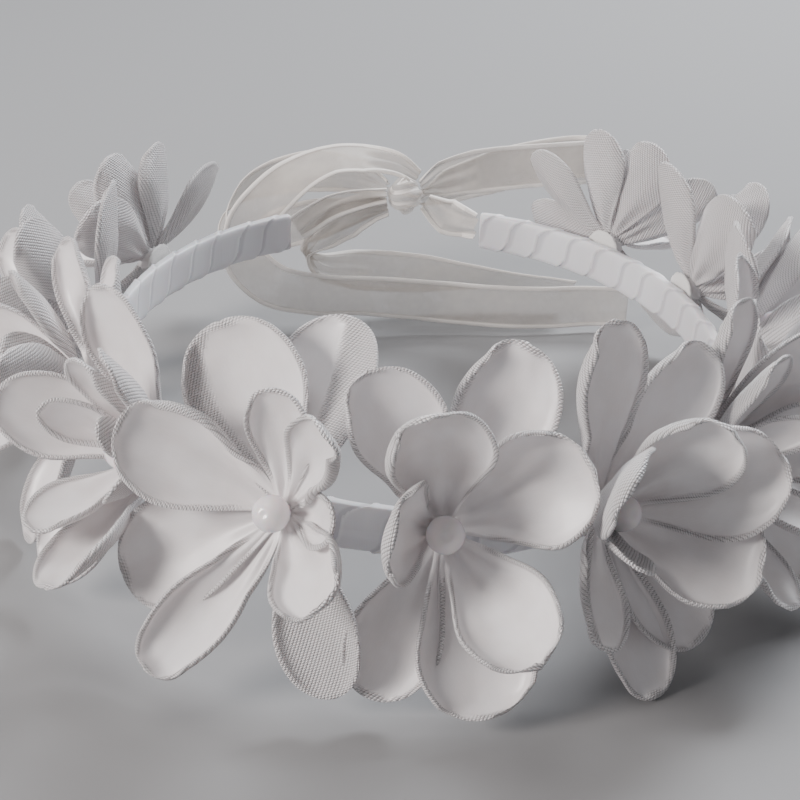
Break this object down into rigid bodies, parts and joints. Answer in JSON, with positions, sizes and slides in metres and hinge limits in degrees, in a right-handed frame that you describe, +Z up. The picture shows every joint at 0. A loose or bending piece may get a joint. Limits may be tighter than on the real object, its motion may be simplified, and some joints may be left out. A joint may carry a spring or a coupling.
{
  "type": "flower crown",
  "caption": "Open oval headband wrapped in satin, covered with a row of folded satin flowers with pearl centres, tied at the back with a sheer ribbon bow.",
  "frame": {"origin": "centre of the crown's bounding box in plan, at the height of its lowest petal tips, which it rests on", "axes": "+Z up out of the hoop, -Y to the front over the forehead, +Y to the tie at the back, +X to the right seen from the front"},
  "size_m": [0.2346, 0.2524, 0.0819],
  "materials": {
    "band_core": "flexible white plastic strip",
    "band_satin": "satin ribbon wound on the slant",
    "felt": "pressed felt",
    "outer_satin": "double satin, woven back, soft sheen inside",
    "inner_satin": "double satin, woven back, soft sheen inside",
    "pearl": "pearl lacquer",
    "organza": "sheer organza with woven edges"
  },
  "bodies": {
    "root": {"band_core": "band_core", "band_wrap": "band_satin", "flower_01_backing": "felt", "flower_01_outer_petals": "outer_satin", "flower_01_inner_petals": "inner_satin", "flower_01_pearl": "pearl", "flower_02_backing": "felt", "flower_02_outer_petals": "outer_satin", "flower_02_inner_petals": "inner_satin", "flower_02_pearl": "pearl", "flower_03_backing": "felt", "flower_03_outer_petals": "outer_satin", "flower_03_inner_petals": "inner_satin", "flower_03_pearl": "pearl", "flower_04_backing": "felt", "flower_04_outer_petals": "outer_satin", "flower_04_inner_petals": "inner_satin", "flower_04_pearl": "pearl", "flower_05_backing": "felt", "flower_05_outer_petals": "outer_satin", "flower_05_inner_petals": "inner_satin", "flower_05_pearl": "pearl", "flower_06_backing": "felt", "flower_06_outer_petals": "outer_satin", "flower_06_inner_petals": "inner_satin", "flower_06_pearl": "pearl", "flower_07_backing": "felt", "flower_07_outer_petals": "outer_satin", "flower_07_inner_petals": "inner_satin", "flower_07_pearl": "pearl", "flower_08_backing": "felt", "flower_08_outer_petals": "outer_satin", "flower_08_inner_petals": "inner_satin", "flower_08_pearl": "pearl", "flower_09_backing": "felt", "flower_09_outer_petals": "outer_satin", "flower_09_inner_petals": "inner_satin", "flower_09_pearl": "pearl", "flower_10_backing": "felt", "flower_10_outer_petals": "outer_satin", "flower_10_inner_petals": "inner_satin", "flower_10_pearl": "pearl", "flower_11_backing": "felt", "flower_11_outer_petals": "outer_satin", "flower_11_inner_petals": "inner_satin", "flower_11_pearl": "pearl", "flower_12_backing": "felt", "flower_12_outer_petals": "outer_satin", "flower_12_inner_petals": "inner_satin", "flower_12_pearl": "pearl", "tie_long_tail": "organza", "tie_short_tail": "organza", "tie_left_loop": "organza", "tie_right_loop": "organza", "tie_left_lead": "organza", "tie_right_lead": "organza", "tie_knot": "organza"}
  },
  "joints": []
}
